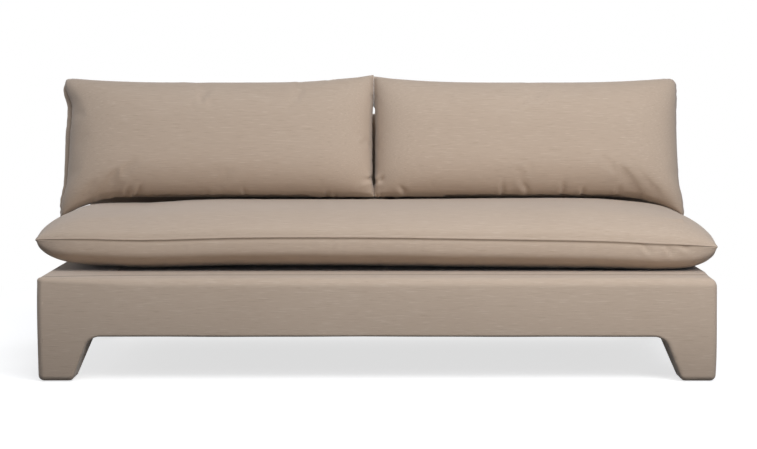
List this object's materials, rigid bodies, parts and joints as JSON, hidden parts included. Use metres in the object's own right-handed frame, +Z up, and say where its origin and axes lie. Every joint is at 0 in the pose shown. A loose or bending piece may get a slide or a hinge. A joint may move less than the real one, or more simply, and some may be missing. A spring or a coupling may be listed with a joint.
{
  "type": "armless sofa",
  "caption": "Armless sofa: upholstered base on flared legs, low upholstered back, knife-edge bench seat cushion and loose back cushions with zipped covers.",
  "frame": {"origin": "on the floor, at the middle of the sofa's bounding box", "axes": "+X to the right along the sofa's width, +Y to the rear, +Z up"},
  "size_m": [1.97, 0.95, 0.8432],
  "materials": {
    "linen_weave": "matte",
    "frame_timber": "matte",
    "upholstery_foam": "matte",
    "polyester_wadding": "matte",
    "pressed_felt": "matte",
    "elastic_webbing": "matte",
    "zinc_steel": "satin",
    "glide_plastic": "satin",
    "dust_cloth": "matte",
    "hardboard": "matte",
    "zip_tape": "matte",
    "zip_metal": "satin"
  },
  "bodies": {
    "base": {"front_left_leg": "frame_timber", "front_right_leg": "frame_timber", "rear_left_leg": "frame_timber", "rear_right_leg": "frame_timber", "floor_glides": "glide_plastic", "front_rail": "frame_timber", "rear_rail": "frame_timber", "left_end_rail": "frame_timber", "right_end_rail": "frame_timber", "left_cross_rail": "frame_timber", "right_cross_rail": "frame_timber", "webbing_cleat": "frame_timber", "leg_bolts": "zinc_steel", "rail_screws": "zinc_steel", "seat_webbing": "elastic_webbing", "side_webbing": "elastic_webbing", "webbing_clips": "zinc_steel", "deck_felt": "pressed_felt", "deck_foam": "upholstery_foam", "front_padding": "polyester_wadding", "rear_padding": "polyester_wadding", "left_padding": "polyester_wadding", "right_padding": "polyester_wadding", "base_cover": "linen_weave", "deck_cloth": "linen_weave", "dust_cover": "dust_cloth", "back_bottom_rail": "frame_timber", "back_top_rail": "frame_timber", "back_left_post": "frame_timber", "back_right_post": "frame_timber", "back_centre_post": "frame_timber", "back_webbing": "elastic_webbing", "back_board": "hardboard", "back_foam": "upholstery_foam", "back_cover": "linen_weave", "back_bolts": "zinc_steel", "back_washers": "zinc_steel"},
    "seat_cushion": {"seat_cover": "linen_weave", "seat_wrap": "polyester_wadding", "seat_core": "upholstery_foam", "seat_zip": "zip_tape"},
    "seat_zip_slider": {"seat_zip_slider": "zip_metal"},
    "left_back_cushion": {"left_pillow_cover": "linen_weave", "left_pillow_wrap": "polyester_wadding", "left_pillow_core": "upholstery_foam", "left_pillow_zip": "zip_tape"},
    "left_zip_slider": {"left_pillow_slider": "zip_metal"},
    "right_back_cushion": {"right_pillow_cover": "linen_weave", "right_pillow_wrap": "polyester_wadding", "right_pillow_core": "upholstery_foam", "right_pillow_zip": "zip_tape"},
    "right_zip_slider": {"right_pillow_slider": "zip_metal"}
  },
  "joints": [
    {"name": "seat_cushion_lift", "type": "slide", "parent": "base", "child": "seat_cushion", "axis": [0, 0, 1], "range_m": [0, 0.45]},
    {"name": "left_cushion_lift", "type": "slide", "parent": "seat_cushion", "child": "left_back_cushion", "axis": [0, 0, 1], "range_m": [0, 0.3]},
    {"name": "right_cushion_lift", "type": "slide", "parent": "seat_cushion", "child": "right_back_cushion", "axis": [0, 0, 1], "range_m": [0, 0.3]},
    {"name": "seat_zip_slide", "type": "slide", "parent": "seat_cushion", "child": "seat_zip_slider", "axis": [1, 0, 0], "range_m": [-1.15, 0]},
    {"name": "left_zip_slide", "type": "slide", "parent": "left_back_cushion", "child": "left_zip_slider", "axis": [1, 0, 0], "range_m": [-0.48, 0]},
    {"name": "right_zip_slide", "type": "slide", "parent": "right_back_cushion", "child": "right_zip_slider", "axis": [1, 0, 0], "range_m": [-0.48, 0]}
  ]
}
